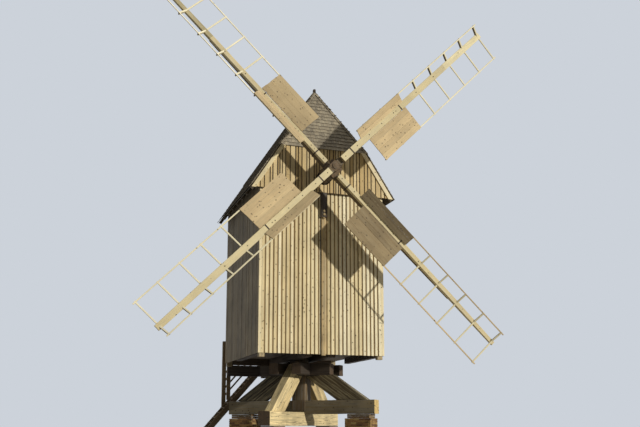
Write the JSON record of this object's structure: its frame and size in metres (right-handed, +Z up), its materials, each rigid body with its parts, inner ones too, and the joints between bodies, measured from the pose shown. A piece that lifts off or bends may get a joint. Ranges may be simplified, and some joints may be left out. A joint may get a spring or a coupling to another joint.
{
  "type": "traditional windmill",
  "caption": "Timber post mill: boarded body with a shingled half-hipped roof turning on a post and trestle, rear stair, and lattice sails with boarded inner ends.",
  "frame": {"origin": "on the ground at the centre of the mill's bounding box, with the sails in an X and facing -Y; the main post stands 0.3281 m behind it", "axes": "+Z up, the sails on the -Y side, +X to the right seen from the sails"},
  "size_m": [15.6038, 9.8762, 19.1507],
  "materials": {
    "masonry": "rough brick and fieldstone",
    "old_oak": "hewn, darkened oak",
    "dark_boards": "weathered tarred boards",
    "pale_boards": "weathered boards and battens",
    "frame_timber": "sawn frame timber",
    "shingles": "weathered split shingles",
    "sail_timber": "planed sail timber",
    "stair_timber": "weathered stair timber",
    "iron": "blackened forged iron"
  },
  "bodies": {
    "trestle": {"piers": "masonry", "pier_plates": "old_oak", "lower_cross_tree": "old_oak", "upper_cross_tree": "old_oak", "main_post": "old_oak", "saddle": "old_oak", "outer_quarter_bars": "old_oak", "inner_quarter_bars": "old_oak"},
    "buck": {"sheers": "old_oak", "corner_posts": "frame_timber", "sills": "old_oak", "floor": "frame_timber", "crown_tree": "old_oak", "side_girts": "old_oak", "wall_plates": "frame_timber", "front_wall": "pale_boards", "left_wall": "dark_boards", "right_wall": "dark_boards", "rear_wall": "dark_boards", "front_gable": "pale_boards", "jetty_beam": "frame_timber", "weather_beam": "old_oak", "tail_beam": "old_oak", "roof_left": "shingles", "roof_right": "shingles", "front_half_hip": "shingles", "rear_half_hip": "shingles", "barge_boards": "pale_boards", "finial": "frame_timber", "cover_board": "pale_boards", "pendant_post": "old_oak", "door_frame": "frame_timber", "door_leaf": "dark_boards", "landing_beams": "stair_timber", "landing_floor": "stair_timber", "landing_posts": "stair_timber", "stringers": "stair_timber", "treads": "stair_timber", "rails": "stair_timber"},
    "sails": {"windshaft": "old_oak", "stocks": "sail_timber", "whips": "sail_timber", "lattices": "sail_timber", "sail_boards": "sail_timber", "sail_straps": "iron"}
  },
  "joints": [
    {"name": "buck_turn", "type": "hinge", "parent": "trestle", "child": "buck", "pos_m": [0, 0.3281, 7.3], "axis": [0, 0, 1], "continuous": true},
    {"name": "sail_turn", "type": "hinge", "parent": "buck", "child": "sails", "pos_m": [0, -3.8019, 11.37], "axis": [0, -0.9983, 0.0584], "continuous": true}
  ]
}
